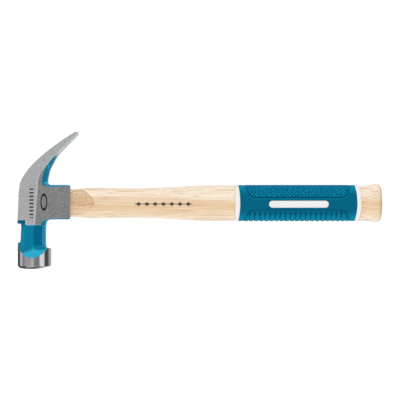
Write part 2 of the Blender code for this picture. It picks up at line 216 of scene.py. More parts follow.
def crossings_of(field, value, low, cell):
    """Points on the surface at lattice edges, the four cells round each, and whether they run backwards."""
    inside = value < 0.0
    points, cells, turned = [], [], []
    for axis in range(3):
        near, far = [slice(None)] * 3, [slice(None)] * 3
        near[axis], far[axis] = slice(0, -1), slice(1, None)
        hit = np.argwhere(inside[tuple(near)] != inside[tuple(far)])
        step, one, two = np.eye(3, dtype=int)[[axis, (axis + 1) % 3, (axis + 2) % 3]]
        from_value, to_value = value[tuple(hit.T)], value[tuple((hit + step).T)]
        points.append(find_crossing(field, low + cell * hit, cell * step, from_value, to_value))
        cells.append(np.stack([hit, hit - one, hit - one - two, hit - two], axis=1))
        turned.append(~inside[tuple(hit.T)])
    return np.concatenate(points), np.concatenate(cells), np.concatenate(turned)


def settle(points, normals, owner, total, cell):
    """One vertex for each cell, where the planes through its crossings meet best."""
    def gather(amount):
        return np.bincount(owner, weights=amount, minlength=total)

    count = gather(np.ones(len(owner)))
    centre = np.stack([gather(points[:, a]) / count for a in range(3)], axis=1)
    height = (normals * (points - centre[owner])).sum(axis=1)
    matrix = np.empty((total, 3, 3))
    side = np.empty((total, 3))
    for a in range(3):
        side[:, a] = gather(normals[:, a] * height)
        for b in range(3):
            matrix[:, a, b] = gather(normals[:, a] * normals[:, b])
    matrix += 0.04 * np.eye(3)
    shift = np.linalg.solve(matrix, side[:, :, None])[:, :, 0]
    reach = np.linalg.norm(shift, axis=1)
    limit = 0.9 * cell
    return centre + shift * np.where(reach > limit, limit / np.maximum(reach, 1e-9), 1.0)[:, None]


def contour(field, low, high, cell):
    """Dual contouring of field(points) = 0 on a regular lattice. Returns vertices and triangles."""
    low, high = np.array(low, float), np.array(high, float)
    shape = np.ceil((high - low) / cell).astype(int) + 1
    axes = [low[a] + cell * np.arange(shape[a]) for a in range(3)]
    value = np.empty(shape)
    for index, x in enumerate(axes[0]):
        slab = np.stack(np.meshgrid([x], axes[1], axes[2], indexing="ij"), axis=-1).reshape(-1, 3)
        value[index] = field(slab).reshape(shape[1:])
    crossings, cells, turned = crossings_of(field, value, low, cell)
    flat_cells = np.ravel_multi_index(tuple((cells + 1).reshape(-1, 3).T), shape + 2)
    ids, corner = np.unique(flat_cells, return_inverse=True)
    owner = corner.reshape(-1)
    normals = gradient(field, crossings)
    vertices = settle(np.repeat(crossings, 4, axis=0), np.repeat(normals, 4, axis=0), owner, len(ids), cell)
    quads = np.where(turned[:, None], corner.reshape(-1, 4)[:, ::-1], corner.reshape(-1, 4))
    across = field((vertices[quads[:, 0]] + vertices[quads[:, 2]]) / 2.0)
    other = field((vertices[quads[:, 1]] + vertices[quads[:, 3]]) / 2.0)
    quads = np.where((np.abs(other) < np.abs(across))[:, None], np.roll(quads, -1, axis=1), quads)
    return vertices, np.concatenate([quads[:, [0, 1, 2]], quads[:, [0, 2, 3]]])


# ---------------------------------------------------------------- mesh helpers
def new_piece(name, vertices, faces):
    """Object from points in working millimetres and faces of three or four corners."""
    mesh = bpy.data.meshes.new(name)
    mesh.from_pydata(place(vertices).tolist(), [], [list(map(int, face)) for face in faces])
    mesh.validate()
    mesh.update()
    item = bpy.data.objects.new(name, mesh)
    bpy.context.scene.collection.objects.link(item)
    return item


def smooth(item, degrees):
    item.data.shade_smooth()
    item.data.set_sharp_from_angle(angle=math.radians(degrees))


def shade_from(item, field, vertices, triangles):
    """Corner normals from the field's slope, read just inside each triangle so that edges stay crisp."""
    corners = vertices[triangles]
    inner = 0.75 * corners + 0.25 * corners.mean(axis=1, keepdims=True)
    item.data.shade_smooth()
    item.data.normals_split_custom_set(gradient(field, inner.reshape(-1, 3), 0.01).tolist())


def paint_attribute(item, name, values):
    """One number for each vertex, for the materials to read."""
    layer = item.data.attributes.new(name, "FLOAT", "POINT")
    layer.data.foreach_set("value", np.asarray(values, np.float32))


def dress(item, surface, slot, *nodes):
    item.data.materials.clear()
    item.data.materials.append(surface)
    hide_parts(*nodes)
    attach(item, "root")


# ---------------------------------------------------------------- head
CLAW_OUTER = spline([(-19.8, 0.0), (0.0, 0.9), (13.3, 1.72), (18.0, 2.4), (22.5, 4.4), (28.1, 7.7),
                     (33.6, 12.2), (39.1, 17.6), (44.6, 23.8), (50.1, 30.6), (55.7, 38.4),
                     (61.2, 46.5), (65.5, 53.2)])
CLAW_INNER = spline([(18.8, 28.0), (22.5, 28.2), (26.2, 29.0), (29.9, 29.9), (33.6, 31.6), (37.3, 33.5),
                     (41.0, 35.4), (44.6, 38.2), (48.3, 41.4), (52.0, 45.0), (55.7, 48.6), (59.3, 52.3),
                     (63.0, 55.8), (66.0, 58.7)])
RIDGE = spline([(-19.7, 16.5), (0.0, 17.9), (15.5, 19.1), (21.2, 19.5), (26.9, 21.4), (30.4, 23.2),
                (35.1, 26.7), (38.3, 30.0), (48.8, 39.9), (66.0, 57.5)])
CLAW_ROUNDING = spline([(17.0, 9.0), (24.0, 9.0), (30.0, 8.3), (36.0, 7.2), (43.0, 4.8),
                        (50.0, 3.6), (66.0, 2.6)])
SOCKET_ROUNDING = spline([(21.0, 8.8), (24.0, 8.3), (26.2, 6.2), (30.0, 4.8), (34.0, 4.4), (40.0, 3.7),
                          (46.6, 3.6), (50.0, 3.6)])
CHIN_ROUNDING = spline([(-2.0, 0.55), (20.0, 0.6), (22.0, 0.7), (22.7, 5.6), (23.4, 6.0), (24.4, 5.4),
                        (27.7, 2.8), (31.0, 3.1), (40.0, 3.2), (46.6, 3.0), (50.0, 3.0)])
RIM_ROUNDING = 0.7
SOCKET_END = 48.3
SOCKET_MIDDLE = 0.8
CHIN_Y = -20.1
CROWN_HALF = 10.5
POLL_X = 15.5
POLL_RADIUS = 15.4
CLAW_SPREAD = (POLL_RADIUS - CROWN_HALF) / 56.1
SOCKET_TAPER = 0.040
NECK_FRONT = 26.25
NECK_HALF = 10.3
NECK_RIDGE_X = 14.6
EYE_Y = 0.3
SLOT_ROOT = (15.0, 27.0)
SLOT_ANGLE = math.radians(47.0)
SLOT_HALF = 1.2
SLOT_SPREAD = 0.0613
FACE_DOME = 60.0
HEAD_LOW = (-1.0, -61.7, -16.4)
HEAD_HIGH = (57.1, 66.5, 16.4)
HEAD_CELL = 0.47


def forged_outline():
    """Side outline of the forged cheeks and claws; its crown side runs clear of the ground crown."""
    claw = [(float(CLAW_INNER(y)), y, 0.0) for y in np.arange(22.0, 62.6, 0.75)]
    return rounded_outline(
        [(-15.0, -19.0, 0.0), (4.0, -19.0, 1.0), (7.4, CHIN_Y, 0.0), (26.1, CHIN_Y, 0.0),
         (26.1, -15.1, 4.6), (SOCKET_END, -15.1, 1.5), (SOCKET_END, 16.65, 1.5), (27.8, 16.65, 2.6)]
        + claw + [(57.0, 64.9, 1.1), (53.0, 66.6, 0.0), (40.0, 80.0, 0.0), (-15.0, 80.0, 0.0)])


FORGED = outline_field(forged_outline(), (-6.0, -30.0), (64.0, 72.0))


def half_thickness(x, y):
    """Half thickness of the ground cheeks: two planes that meet along the ridge."""
    ridge = RIDGE(y)
    at_ridge = CROWN_HALF + CLAW_SPREAD * np.minimum(x, ridge)
    return at_ridge - SOCKET_TAPER * np.clip(x - ridge, 0.0, None)


def cheeks_field(x, y, z, half):
    """Forged cheeks and claws before grinding, with their large rounded edges."""
    up = ramp(y, 16.0, 21.0)
    blend = np.where(y > 0.0, up * CLAW_ROUNDING(y) + (1.0 - up) * SOCKET_ROUNDING(x), CHIN_ROUNDING(x))
    blend = np.maximum(blend, 0.5)
    rim = ramp(x, 46.0, 47.6) * ramp(np.abs(y - SOCKET_MIDDLE), 14.2, 12.6)
    blend += (RIM_ROUNDING - blend) * rim
    body = smooth_max(FORGED(x, y), z - half - 0.5, blend)
    crown_step = np.maximum(np.maximum(x - 7.3, y + 15.8), 9.0 - z)
    return smooth_max(body, -crown_step, 0.9)


def neck_field(x, y, z):
    """Eight-sided neck with a low ridge down its middle."""
    facets = [
        3.5 + 0.055 * (y + 20.0) - x,
        x - NECK_FRONT,
        (z - NECK_HALF + 0.19 * (NECK_RIDGE_X - x)) / 1.02,
        (z - NECK_HALF + 0.30 * (x - NECK_RIDGE_X)) / 1.04,
        -0.80 * (x - 5.9) + 0.60 * (z - 8.5),
        0.66 * (x - 22.35) + 0.75 * (z - 8.15),
        0.93 * (x - 24.15) + 0.37 * (z - 6.6),
    ]
    body = facets[0]
    for facet in facets[1:]:
        body = smooth_max(body, facet, 0.5)
    return np.maximum(body, np.maximum(y + 14.0, -48.0 - y))


def poll_field(x, y, z):
    """Forged poll: its shoulder slopes at the sides and is cut back to the neck on both faces."""
    radius = np.hypot(x - POLL_X, z)
    lean = 0.15 * (x - 15.0) - 0.06 * np.abs(x - 15.0)
    wall = (y + 43.3 - lean + 1.26 * (z - 10.0)) / 1.61
    shoulder = (y + 36.3 + 0.18 * x) / 1.016
    body = smooth_max(wall, shoulder, 1.5)
    return np.maximum(np.maximum(body, radius - 16.2), -64.0 - y)


def eye_field(x, y, z):
    """Rounded oblong eye that widens toward the socket and flares at the crown."""
    share = np.clip((x - 12.0) / (SOCKET_END - 12.0), 0.0, 1.0)
    flare = 0.5 * np.clip(0.9 - x, 0.0, None)
    high = 11.75 + 1.2 * share + flare
    deep = 8.25 + 0.55 * share + flare
    size = ((np.abs(y - EYE_Y) / high) ** 4 + (z / deep) ** 4) ** 0.25
    return (size - 1.0) * deep


def slot_field(x, y, z):
    """Nail slot that widens from its round root to the claw tips."""
    along = (x - SLOT_ROOT[0]) * math.cos(SLOT_ANGLE) + (y - SLOT_ROOT[1]) * math.sin(SLOT_ANGLE)
    return np.where(along > 0.0, z - SLOT_HALF - SLOT_SPREAD * along, np.hypot(along, z) - SLOT_HALF)


def ground_field(x, y, z, half):
    """All the ground and polished surfaces of the head."""
    radius = np.hypot(x - POLL_X, z)
    slope = (CLAW_OUTER(y + 0.1) - CLAW_OUTER(y - 0.1)) / 0.2
    cheek = np.minimum(z - half, y + 21.5)
    crown = np.minimum((CLAW_OUTER(y) - x) / np.sqrt(1.0 + slope * slope), y + 30.0)
    barrel = np.minimum(radius - POLL_RADIUS, -33.5 - y)
    dome = np.sqrt((x - 12.3) ** 2 + (y + 0.7) ** 2 + z * z) - FACE_DOME
    chamfer = (radius - y - 73.3) / 1.414
    face = np.minimum(np.maximum(dome, chamfer), -45.0 - y)
    tip = np.minimum((y - 65.5 + 0.2 * (x - 53.2)) / 1.02, y - 50.0)
    return np.maximum.reduce([cheek, crown, barrel, face, tip])


def head_fields(points):
    """Forged and ground surfaces of the head as two fields; the head is where both are negative."""
    x, y = points[:, 0], points[:, 1]
    z = np.abs(points[:, 2])
    half = half_thickness(x, y)
    forged = smooth_min(cheeks_field(x, y, z, half), neck_field(x, y, z), 2.2)
    forged = smooth_min(forged, poll_field(x, y, z), 2.4)
    forged = np.maximum(forged, -eye_field(x, y, z))
    forged = np.maximum(forged, -slot_field(x, y, z))
    return forged, ground_field(x, y, z, half)


def head_field(points):
    return np.maximum(*head_fields(points))


# Share of light, middle and size in x and y of the soft painted highlights in the throat of the claws.
THROAT_GLINTS = (
    (0.6, (22.9, 21.3), (0.8, 2.2)),
    (0.6, (26.4, 18.5), (1.5, 1.2)),
    (0.35, (28.8, 33.5), (0.8, 2.4)),
)


def painted_light_and_shade(points):
    """Painted light and shade on the paint, 1 for the lightest: painted light over the hollow wall above the
    poll, painted shade low at the recessed crown and behind the neck, and painted highlights on edges of the
    neck and socket, under the cheeks and in the throat.
    """
    x, y = points[:, 0], points[:, 1]
    facing = gradient(head_field, points, 0.3)
    neck = ramp(y, -18.0, -20.5) * ramp(y, -40.0, -38.0)
    # Painted shade on the neck's right facets and a painted highlight on its right chamfers.
    light = 0.46 - neck * 0.34 * ramp(facing[:, 0], 0.1, 0.26) + neck * 0.6 * ramp(facing[:, 0], 0.55, 0.7)
    # Painted highlight along the top and bottom of the socket; darker from the throat up the claws.
    light += 0.3 * ramp(np.abs(y), 14.2, 15.2) * ramp(x, 24.0, 27.0) - 0.24 * ramp(y, 17.5, 21.0)
    # Painted highlight: a faint light band on the neck's left side.
    light += neck * 0.1 * ramp(x, 4.8, 5.4) * ramp(x, 7.6, 6.8)
    # Painted highlight along the fillet under the cheeks.
    light += 0.45 * ramp(x, 7.0, 8.0) * bell(y + 20.7, 0.5)
    # Painted highlights in the throat of the claws.
    for share, at, size in THROAT_GLINTS:
        light += share * bell(x - at[0], size[0]) * bell(y - at[1], size[1])
    # Painted shade in the recessed block at the crown, and painted light over the whole hollow wall above the
    # poll.
    crown = ramp(x, 7.9, 7.2) * ramp(y, -22.0, -21.2) * ramp(y, -15.2, -16.0)
    wall = ramp(y, -37.0, -39.0) * ramp(np.abs(points[:, 2]), 9.6, 11.2)
    return light * (1.0 - 0.75 * crown) * (1.0 - wall) + wall


def convexity(field, points, step=0.5):
    """1 on sharp convex edges, 0 on flat and hollow surfaces."""
    turn = np.zeros(len(points))
    for axis in range(3):
        shift = np.zeros(3)
        shift[axis] = step
        turn += gradient(field, points + shift, 0.1)[:, axis] - gradient(field, points - shift, 0.1)[:, axis]
    return ramp(turn / (2.0 * step), 0.35, 1.2)


def make_head():
    vertices, triangles = contour(head_field, HEAD_LOW, HEAD_HIGH, HEAD_CELL)
    item = new_piece("forged_head", vertices, triangles)
    forged, ground = head_fields(vertices)
    before_ridge = RIDGE(vertices[:, 1]) - vertices[:, 0]
    paint_attribute(item, "bare_steel", ground - forged)
    paint_attribute(item, "painted_light_and_shade", painted_light_and_shade(vertices))
    # Convex edges, which both finishes lighten as a painted highlight.
    paint_attribute(item, "edge", convexity(head_field, vertices))
    # Band just before the ridge, lightened as a painted highlight.
    paint_attribute(item, "ridge", bell(before_ridge - 0.9, 0.8) * (before_ridge > -0.2))
    shade_from(item, head_field, vertices, triangles)
    return item


# ---------------------------------------------------------------- handle
WOOD_HEIGHT = spline([(0.0, 11.7), (48.3, 12.66), (52.0, 12.75), (55.5, 12.95), (59.2, 13.38), (62.8, 13.9),
                      (66.5, 14.07), (73.9, 14.2), (81.2, 14.0), (88.6, 13.8), (99.6, 13.65),
                      (114.4, 13.75), (125.4, 14.02), (132.8, 14.27), (140.1, 14.68), (147.5, 15.08),
                      (154.8, 15.65), (162.2, 16.1), (169.6, 16.38), (178.8, 16.55), (191.6, 16.5),
                      (200.5, 16.45)])
WOOD_DEPTH = spline([(0.0, 8.2), (48.3, 8.72), (56.0, 8.9), (61.5, 9.35), (68.3, 9.65), (85.0, 9.4),
                     (101.5, 9.3), (125.0, 9.7), (147.0, 10.7), (162.0, 11.6), (180.0, 12.1), (200.5, 12.15)])
WOOD_POWER = spline([(0.0, 4.0), (40.0, 4.4), (52.0, 5.0), (60.0, 4.6), (68.0, 3.7), (85.0, 2.6),
                     (110.0, 2.35), (200.0, 2.45)])
BUTT_HEIGHT = spline([(313.0, 15.95), (316.8, 16.1), (320.4, 16.4), (324.1, 16.9), (327.0, 17.2),
                      (328.6, 17.36)])
BUTT_DEPTH = spline([(313.0, 12.0), (316.8, 12.1), (320.4, 12.4), (324.1, 12.85), (327.0, 13.3),
                     (328.6, 13.4)])
BUTT_END = [(329.6, 17.45, 13.45), (330.6, 17.4, 13.35), (331.6, 17.15, 13.05), (332.5, 16.65, 12.5),
            (333.3, 15.9, 11.7), (334.0, 14.7, 10.5), (334.6, 12.5, 8.8), (335.0, 9.2, 6.4),
            (335.25, 5.2, 3.6), (335.35, 2.0, 1.4)]
BUTT_START = 313.6
BUTT_FLARED = 327.0
BUTT_DROP = 0.4
CORE_POWER = 2.4
START_BOW = 1.8
RING_BOW = 2.5
FACET_START = 46.0
FACET_APEX = 70.9
FACET_TOP = spline([(FACET_START, 9.0), (48.3, 10.2), (52.0, 11.2), (57.0, 11.9), (59.7, 11.7), (62.6, 10.5),
                    (64.7, 8.9), (66.4, 7.3), (68.2, 5.3), (69.5, 3.5), (FACET_APEX, 0.2)])
FACET_BOTTOM = spline([(FACET_START, -9.0), (48.3, -10.0), (52.0, -10.8), (57.0, -10.9), (59.7, -9.9),
                       (62.6, -8.3), (64.7, -7.0), (66.4, -5.6), (68.2, -4.0), (69.5, -2.7),
                       (FACET_APEX, -0.2)])
TENON_END = 1.7
CORE_START = 200.05
CORE_HALF = (13.5, 9.4)
GRIP_MIDDLE = 257.0
AROUND = 144


def section(high, deep, power, count=AROUND):
    """Closed superellipse in (y, z), evenly spaced along its length."""
    angle = np.linspace(0.0, 2.0 * math.pi, 4 * count, endpoint=False)
    across, up = np.cos(angle), np.sin(angle)
    radius = (np.abs(across / high) ** power + np.abs(up / deep) ** power) ** (-1.0 / power)
    points = np.stack([radius * across, radius * up], axis=1)
    closed = np.vstack([points, points[:1]])
    run = run_of(closed)
    return resample(closed, run, np.linspace(0.0, run[-1], count, endpoint=False))


def bowed(at, outline, bow):
    """Points of a section at one station, its middle carried along +X by the bow."""
    high = np.abs(outline[:, 0]).max()
    return np.stack([at + bow * (1.0 - (outline[:, 0] / high) ** 2), outline[:, 0], outline[:, 1]], axis=1)


def skin(name, rings, joined=False):
    """Closed surface through rings of equal count, ended by fans or joined end to end."""
    rings = np.array(rings)
    count, around = rings.shape[:2]
    grid = np.arange(count * around).reshape(count, around)
    upper = np.roll(grid, -1, axis=0) if joined else grid[1:]
    lower = grid if joined else grid[:-1]
    quads = [lower, np.roll(lower, -1, axis=1), np.roll(upper, -1, axis=1), upper]
    faces = np.stack(quads, axis=-1).reshape(-1, 4).tolist()
    points = rings.reshape(-1, 3)
    if not joined:
        points = np.vstack([points, rings[0].mean(axis=0), rings[-1].mean(axis=0)])
        first, last = count * around, count * around + 1
        for a in range(around):
            b = (a + 1) % around
            faces.append([first, grid[0, b], grid[0, a]])
            faces.append([last, grid[-1, a], grid[-1, b]])
    return new_piece(name, points, faces)


def wood_surface(x, y):
    """Half thickness of the handle before its neck is shaved."""
    share = np.clip(1.0 - np.abs(y / WOOD_HEIGHT(x)) ** WOOD_POWER(x), 0.0, 1.0)
    return WOOD_DEPTH(x) * share ** (1.0 / WOOD_POWER(x))


def facet_depth(x, y):
    """Plane of the shaved tongue at a station: a chord between its two borders."""
    top, bottom = FACET_TOP(x), FACET_BOTTOM(x)
    low, high = wood_surface(x, bottom), wood_surface(x, top)
    return low + (high - low) * (y - bottom) / (top - bottom)


def handle_ring(x):
    """Section of the handle at a station; the sides of its neck are shaved flat in a rounded tongue."""
    outline = section(float(WOOD_HEIGHT(x)), float(WOOD_DEPTH(x)), float(WOOD_POWER(x)))
    if FACET_START < x < FACET_APEX:
        up = np.abs(outline[:, 1])
        cut = smooth_min(up, facet_depth(x, outline[:, 0]), 0.1)
        outline = np.stack([outline[:, 0], np.sign(outline[:, 1]) * cut], axis=1)
    return bowed(x, outline, 0.0)


def butt_ring(x):
    """Section of the flaring butt at a station, bowed and dropped less toward its end."""
    flared = 1.0 - ramp(x, BUTT_START, BUTT_FLARED)
    drop = BUTT_DROP * (1.0 - ramp(x, 318.0, BUTT_FLARED))
    outline = section(float(BUTT_HEIGHT(x)), float(BUTT_DEPTH(x)), CORE_POWER)
    return bowed(x, outline, RING_BOW * flared) - [0.0, drop, 0.0]


def shaved(points):
    """How far inside the shaved tongue of the neck a point lies, negative outside it."""
    x, y = points[:, 0], points[:, 1]
    inside = np.minimum(FACET_TOP(x) - y, y - FACET_BOTTOM(x))
    inside = np.minimum(inside, 1.6 * (FACET_APEX - x))
    return np.where((np.abs(points[:, 2]) > 5.0) & (x > 40.0), inside, -1.0)


def make_handle():
    rings = [bowed(TENON_END, section(11.4, 7.95, 4.0), 0.0)]
    rings.append(bowed(TENON_END + 0.4, section(11.65, 8.15, 4.0), 0.0))
    neck = np.arange(FACET_START, 76.0, 0.4)
    for x in np.concatenate([np.arange(4.0, FACET_START, 3.0), neck, np.arange(76.0, 199.5, 1.0)]):
        rings.append(handle_ring(float(x)))
    for x, high, deep, power, bow in (
        (199.9, 16.42, 12.12, 2.45, 0.0), (CORE_START, 16.2, 11.9, 2.45, 0.0),
        (CORE_START, *CORE_HALF, CORE_POWER, 0.0), (GRIP_MIDDLE, *CORE_HALF, CORE_POWER, 0.9),
        (BUTT_START, *CORE_HALF, CORE_POWER, RING_BOW), (BUTT_START, 15.6, 11.8, CORE_POWER, RING_BOW),
    ):
        rings.append(bowed(x, section(high, deep, power), bow))
    rings += [butt_ring(float(x)) for x in np.arange(BUTT_START + 0.2, 328.9, 0.7)]
    rings += [bowed(x, section(high, deep, 2.35), 0.0) for x, high, deep in BUTT_END]
    item = skin("hickory_handle", rings)
    fan_middles = [-1.0, -1.0]
    paint_attribute(item, "shaved", np.append(shaved(np.concatenate(rings)), fan_middles))
    return item


# ---------------------------------------------------------------- wedges
def wedge(name, length, root, tip, centre, end, angle=0.0, rough=0.0, barbs=0):
    """Tapered wedge driven along +X from its end, with a slightly crushed outer edge."""
    rows = []
    for x, grow in ((0.0, -0.35), (0.35, 0.0), *[(length * k / 14.0, 0.0) for k in range(1, 14)],
                    (length - 0.3, 0.0), (length, -0.15)):
        share = min(x / length, 1.0)
        deep = (root + (tip - root) * share) / 2.0 + grow * 0.5
        high = end / 2.0 + grow
        if barbs:
            deep += 0.18 * (math.sin(share * math.pi * barbs) > 0.0)
        corner = min(0.35, deep * 0.5)
        outline = rounded_outline(
            [(-high, -deep, corner), (high, -deep, corner), (high, deep, corner), (-high, deep, corner)], 4)
        turned = outline @ np.array([[math.cos(angle), math.sin(angle)], [-math.sin(angle), math.cos(angle)]])
        wave = rough * np.sin(turned[:, 0] * 2.3 + 1.0) * (x < 0.4)
        rows.append(np.stack([x + centre[0] + wave, turned[:, 0] + centre[1], turned[:, 1]], axis=1))
    return skin(name, rows)


# ---------------------------------------------------------------- grip
GRIP_HALF = (16.55, 12.75)
GRIP_POWER = 2.5
GRIP_START = 202.8
GRIP_END = 309.7
GRIP_WALL = 1.6
GRIP_POINTS = 248
PANEL_CENTRE = (258.5, -1.1)
PANEL_HALF = (27.45, 3.3)
PAD_FOOT = 10.3
WINDOW_GAP = 0.12
RIB_START = 213.6
RIB_PITCH = 4.675
RIB_COUNT = 20
RIB_TOP = -8.2
LINE_WIDTH = 0.42
OUTLINE_CELL = 0.3
UPPER_LINE = ((207.4, 19.0), (208.3, 16.1), (211.4, 11.0), (213.7, 7.8), (216.0, 5.8), (217.8, 5.15),
              (220.0, 5.0), (296.5, 5.0), (299.0, 5.4), (301.1, 6.6), (303.3, 9.4), (304.6, 13.0),
              (305.1, 19.0))
LOWER_LINE = ((206.5, -19.0), (207.7, -16.1), (210.9, -11.0), (213.7, -7.9), (216.0, -6.8), (219.0, -6.4),
              (296.0, -6.4), (299.0, -6.9), (302.0, -9.2), (304.0, -12.4), (304.9, -16.0), (305.2, -19.0))


def rib_lean(y):
    """How far a rib groove has run toward the head at a height y below the centre band."""
    return -1.1 * np.clip((RIB_TOP - y) / 8.5, 0.0, 1.2) ** 1.6


def panel_line(corners):
    """Dense polyline through the given corners."""
    run = run_of(corners)
    return resample(np.array(corners), run, np.arange(0.0, run[-1], 0.25))


def distance_to(line, x, y):
    """Distance from points to a dense polyline, in blocks that fit in memory."""
    out = np.empty(x.size)
    flat = np.stack([x.ravel(), y.ravel()], axis=1)
    for start in range(0, len(flat), 4096):
        gap = flat[start:start + 4096, None, :] - line[None, :, :]
        out[start:start + 4096] = np.sqrt((gap * gap).sum(axis=2).min(axis=1))
    return out.reshape(x.shape)


def panel_fields(corners, beyond, low, high, x, y):
    """Distance to a panel's line, and signed distance to the panel, closed beyond the grip's edge."""
    line = panel_line(corners)
    closed = np.vstack([line, [(corners[-1][0], beyond), (corners[0][0], beyond)]])
    return distance_to(line, x, y), outline_field(closed, low, high, OUTLINE_CELL)(x, y)


def grip_relief(x, y):
    """Height of the rubber above its plain surface, and the masks of its dots, of the painted shade in its
    grooves and rib slits, and of the painted highlight along its lip.
    """
    upper, in_upper = panel_fields(UPPER_LINE, 22.0, (202.0, 3.0), (312.0, 19.5), x, y)
    lower, in_lower = panel_fields(LOWER_LINE, -22.0, (202.0, -19.5), (312.0, -4.0), x, y)
    straight = ramp(np.abs(y + 6.4), 0.5, 1.2)
    groove = np.maximum(bell(upper, LINE_WIDTH), (0.45 + 0.55 * straight) * bell(lower, LINE_WIDTH))
    across = (x - rib_lean(y) - RIB_START) / RIB_PITCH
    off = (across - np.clip(np.round(across), 0, RIB_COUNT - 1)) * RIB_PITCH
    rib = ramp(RIB_TOP - y, 0.0, 0.7) * ramp(-in_lower, 0.5, 1.3)
    slit = np.exp(-((np.abs(off) / 0.5) ** 2.4))
    swell = np.cos(np.clip(off / RIB_PITCH, -0.5, 0.5) * 2.0 * math.pi)
    relief = -0.5 * groove + 0.10 * ramp(-in_upper, 0.2, 0.9)
    relief -= rib * (0.85 * slit + 0.08 * (1.0 + swell))
    relief += 0.22 * ramp(-in_lower, 0.3, 1.0)
    # Painted shade in the grooves and rib slits, stronger toward the top of the ribs.
    shade = np.maximum(groove, rib * slit * (0.55 + 0.45 * ramp(y, RIB_TOP - 5.0, RIB_TOP - 1.0)))
    # Painted highlight along the lip just outside the upper panel's line.
    lip = bell(upper - 1.15, 0.45) * (in_upper > 0.0) * ramp(np.abs(y), 9.0, 6.0)
    return relief, {"dotted": ramp(-in_upper, 0.3, 0.8), "groove": shade, "lip": lip}


def grip_stations():
    """Stations along the grip, close together where a groove runs."""
    half = np.array([0.1, 0.3, 0.5, 0.7, 0.92, 1.2, 1.6, 2.1])
    ribs = [RIB_START + RIB_PITCH * index + np.concatenate([-half[::-1], half]) for index in range(RIB_COUNT)]
    return np.concatenate([[GRIP_START, 202.95, 203.15, 203.4], np.arange(203.8, 211.2, 0.45), *ribs,
                           np.arange(304.9, 308.9, 0.45), [309.1, 309.35, 309.55, GRIP_END]])


def grip_section():
    """Outline of the rubber, with points close together at the edges of the centre band."""
    dense = section(*GRIP_HALF, GRIP_POWER, 2000)
    run = np.linalg.norm(np.roll(dense, -1, axis=0) - dense, axis=1)
    near = np.min([np.abs(dense[:, 0] - edge) for edge in (5.0, -6.5, -8.3)], axis=0)
    total = np.cumsum(run / (0.16 + 0.34 * ramp(near, 0.6, 2.0)))
    index = np.searchsorted(total, np.linspace(0.0, total[-1], GRIP_POINTS, endpoint=False))
    return dense[np.clip(index, 0, len(dense) - 1)]


def section_normals(outline):
    """Unit normals of the grip's superellipse at the points of its outline."""
    share = outline / GRIP_HALF
    slope = np.sign(outline) * np.abs(share) ** (GRIP_POWER - 1) / GRIP_HALF
    return slope / np.linalg.norm(slope, axis=1)[:, None]


def make_overmold():
    outline, stations = grip_section(), grip_stations()
    normal = section_normals(outline)
    across = 1.0 - (outline[:, 0] / GRIP_HALF[0]) ** 2
    rings = []
    for u in stations:
        left, right = 1.0 - ramp(u, 203.0, 211.5), ramp(u, 303.5, 309.5)
        lean = (1.0 - left - right) * rib_lean(outline[:, 0])
        x = u + left * START_BOW * across + right * RING_BOW * across + lean
        rings.append(np.column_stack([x, outline]))
    rings = np.array(rings)
    relief, masks = grip_relief(rings[:, :, 0], rings[:, :, 1])
    edge = np.minimum(stations - stations[0], stations[-1] - stations)
    eased = -0.45 * (1.0 - np.sqrt(np.clip(1.0 - (1.0 - np.clip(edge / 0.6, 0.0, 1.0)) ** 2, 0.0, 1.0)))
    rings[:, :, 1:] += (relief + eased[:, None])[:, :, None] * normal
    inner = []
    for share in (1.0, 0.5, 0.0):
        u = GRIP_START + (GRIP_END - GRIP_START) * share
        x = u + (START_BOW + (RING_BOW - START_BOW) * share) * across
        inner.append(np.column_stack([x, outline - GRIP_WALL * normal]))
    item = skin("rubber_grip", np.concatenate([rings, inner]), joined=True)
    girth = np.linalg.norm(np.roll(outline, -1, axis=0) - outline, axis=1)
    masks["around"] = np.broadcast_to(np.cumsum(girth), relief.shape)
    for name, mask in masks.items():
        paint_attribute(item, name, np.concatenate([mask.ravel(), np.zeros(len(inner) * len(outline))]))
    cut_window(item)
    return item


def capsule(grow, steps=24):
    """Outline of the panel in (x, y), grown outward."""
    half, radius = PANEL_HALF[0] + grow, PANEL_HALF[1] + grow
    corner = radius * 0.999
    corners = [(-half, -radius, corner), (half, -radius, corner),
               (half, radius, corner), (-half, radius, corner)]
    return rounded_outline(corners, steps) + np.array(PANEL_CENTRE)


def cut_window(item):
    """Cuts the panel's window right through the rubber."""
    outline = capsule(WINDOW_GAP)
    rings = [np.column_stack([outline, np.full(len(outline), z)]) for z in (-20.0, 20.0)]
    cutter = skin("window_cutter", rings)
    change = item.modifiers.new("window", "BOOLEAN")
    change.operation = "DIFFERENCE"
    change.solver = "EXACT"
    change.object = cutter
    bake_modifiers(item)
    bpy.data.objects.remove(cutter)


def bake_modifiers(item):
    graph = bpy.context.evaluated_depsgraph_get()
    graph.update()
    mesh = bpy.data.meshes.new_from_object(item.evaluated_get(graph))
    item.modifiers.clear()
    old = item.data
    item.data = mesh
    bpy.data.meshes.remove(old)


def grip_surface(y, offset):
    """Height of the rubber's plain surface above the middle plane, moved in by an offset."""
    high, deep = GRIP_HALF[0] + offset, GRIP_HALF[1] + offset
    return deep * np.clip(1.0 - np.abs(y / high) ** GRIP_POWER, 0.0, 1.0) ** (1.0 / GRIP_POWER)


def pad_rings(side):
    """Rings of one raised panel pad, from the middle of its top over the rounded edge to its foot."""
    rings = []
    for grow, offset in ((-2.9, -0.12), (-2.2, -0.12), (-1.4, -0.12), (-0.8, -0.12), (-0.35, -0.13),
                         (-0.15, -0.2), (-0.05, -0.32), (0.0, -0.5)):
        outline = capsule(grow)
        rings.append(np.column_stack([outline, side * grip_surface(outline[:, 1], offset)]))
    foot = capsule(0.0)
    rings.append(np.column_stack([foot, np.full(len(foot), side * PAD_FOOT)]))
    return rings if side > 0 else [ring[::-1] for ring in rings]


SLEEVE_START = 200.1
RING_HALF = (16.95, 12.72)
STEP_HALF = (16.4, 12.3)
WALL_HALF = (15.2, 11.1)
BORE_HALF = (13.6, 9.5)
